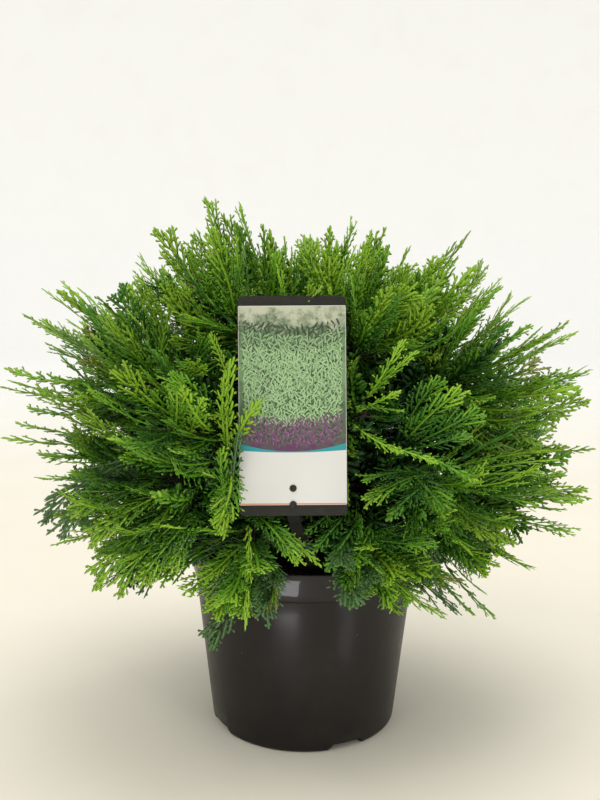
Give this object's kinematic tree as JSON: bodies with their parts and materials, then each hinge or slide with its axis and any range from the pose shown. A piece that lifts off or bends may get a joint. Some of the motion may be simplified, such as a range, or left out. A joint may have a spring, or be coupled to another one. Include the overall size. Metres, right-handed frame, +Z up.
{
  "type": "potted globosa lawson cypress",
  "caption": "Globe-shaped dwarf cypress with flat sprays of scale leaves, in a black nursery pot with a plant label.",
  "frame": {"origin": "middle of the pot's foot, on the ground, under the middle of the crown", "axes": "+Z up, -Y towards the front, where the label stands, +X to the right of someone who faces the label"},
  "size_m": [0.4361, 0.3205, 0.3877],
  "materials": {
    "pot_black": "satin",
    "soil": "matte",
    "bark": "matte",
    "foliage_fresh": "satin",
    "foliage_mid": "satin",
    "foliage_deep": "satin",
    "label_black": "satin",
    "label_card": "gloss"
  },
  "bodies": {
    "root": {"bough_shoulder_01": "bark", "bough_shoulder_02": "bark", "bough_shoulder_03": "bark", "bough_shoulder_04": "bark", "bough_shoulder_05": "bark", "bough_shoulder_06": "bark", "bough_shoulder_07": "bark", "bough_side_01": "bark", "bough_side_02": "bark", "bough_side_03": "bark", "bough_side_04": "bark", "bough_side_05": "bark", "bough_side_06": "bark", "bough_side_07": "bark", "bough_skirt_01": "bark", "bough_skirt_02": "bark", "bough_skirt_03": "bark", "bough_skirt_04": "bark", "bough_skirt_05": "bark", "bough_skirt_06": "bark", "bough_skirt_07": "bark", "bough_upper_01": "bark", "bough_upper_02": "bark", "bough_upper_03": "bark", "bough_upper_04": "bark", "bough_upper_05": "bark", "foliage_shoulder_01": "foliage_fresh", "foliage_shoulder_02": "foliage_mid", "foliage_shoulder_03": "foliage_deep", "foliage_shoulder_04": "foliage_fresh", "foliage_shoulder_05": "foliage_mid", "foliage_shoulder_06": "foliage_deep", "foliage_shoulder_07": "foliage_fresh", "foliage_side_01": "foliage_mid", "foliage_side_02": "foliage_deep", "foliage_side_03": "foliage_fresh", "foliage_side_04": "foliage_mid", "foliage_side_05": "foliage_deep", "foliage_side_06": "foliage_fresh", "foliage_side_07": "foliage_mid", "foliage_skirt_01": "foliage_deep", "foliage_skirt_02": "foliage_fresh", "foliage_skirt_03": "foliage_mid", "foliage_skirt_04": "foliage_deep", "foliage_skirt_05": "foliage_fresh", "foliage_skirt_06": "foliage_mid", "foliage_skirt_07": "foliage_deep", "foliage_top": "foliage_fresh", "foliage_upper_01": "foliage_mid", "foliage_upper_02": "foliage_deep", "foliage_upper_03": "foliage_fresh", "foliage_upper_04": "foliage_mid", "foliage_upper_05": "foliage_deep", "label_card": "label_card", "label_holder": "label_black", "pot": "pot_black", "potting_soil": "soil", "trunk": "bark"}
  },
  "joints": []
}
